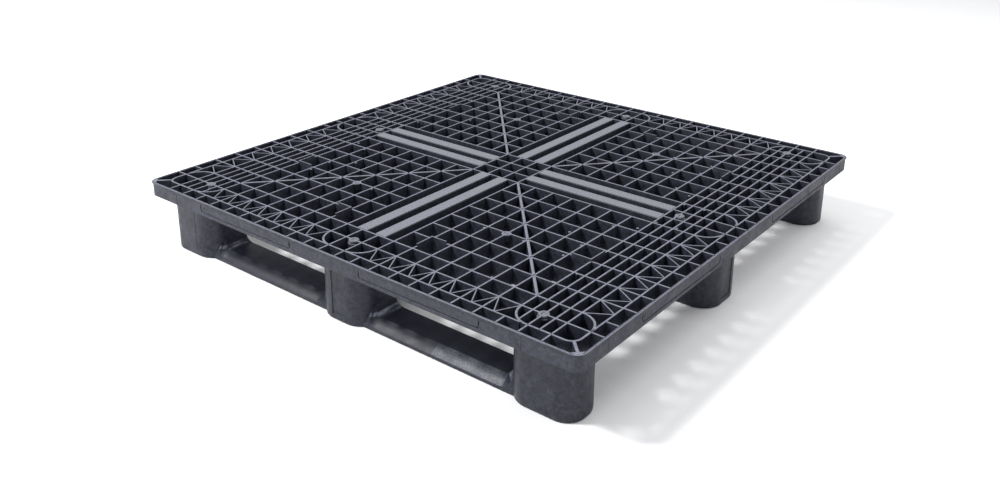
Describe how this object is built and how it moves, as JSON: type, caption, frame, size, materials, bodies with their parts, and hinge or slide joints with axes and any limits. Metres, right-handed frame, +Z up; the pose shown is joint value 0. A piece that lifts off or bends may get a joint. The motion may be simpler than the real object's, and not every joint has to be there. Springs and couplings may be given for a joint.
{
  "type": "plastic pallet",
  "caption": "Square plastic pallet with an open grid deck, anti-slip strips in a cross, hollow legs on full-length skids and four-way fork entry.",
  "frame": {"origin": "centre of the footprint on the floor", "axes": "+Z up; the skids run along X; -Y is the front, where a skid is seen between the legs"},
  "size_m": [1.14, 1.14, 0.1605],
  "materials": {
    "deck_plastic": "anthracite recycled plastic, fine moulded grain, light sheen on the rib tops",
    "skid_plastic": "anthracite recycled plastic with faint flow marks and scuffs",
    "grip": "grey, fine grained anti-slip surface",
    "pin_plastic": "dark grey, smooth moulded"
  },
  "bodies": {
    "root": {"deck": "deck_plastic", "skid_front": "skid_plastic", "skid_middle": "skid_plastic", "skid_rear": "skid_plastic", "grip_strip_front_a": "grip", "grip_strip_front_b": "grip", "grip_strip_rear_a": "grip", "grip_strip_rear_b": "grip", "grip_strip_left_a": "grip", "grip_strip_left_b": "grip", "grip_strip_right_a": "grip", "grip_strip_right_b": "grip", "lock_pin_front_left": "pin_plastic", "lock_pin_front_mid": "pin_plastic", "lock_pin_front_right": "pin_plastic", "lock_pin_mid_left": "pin_plastic", "lock_pin_mid_right": "pin_plastic", "lock_pin_rear_left": "pin_plastic", "lock_pin_rear_mid": "pin_plastic", "lock_pin_rear_right": "pin_plastic"}
  },
  "joints": []
}
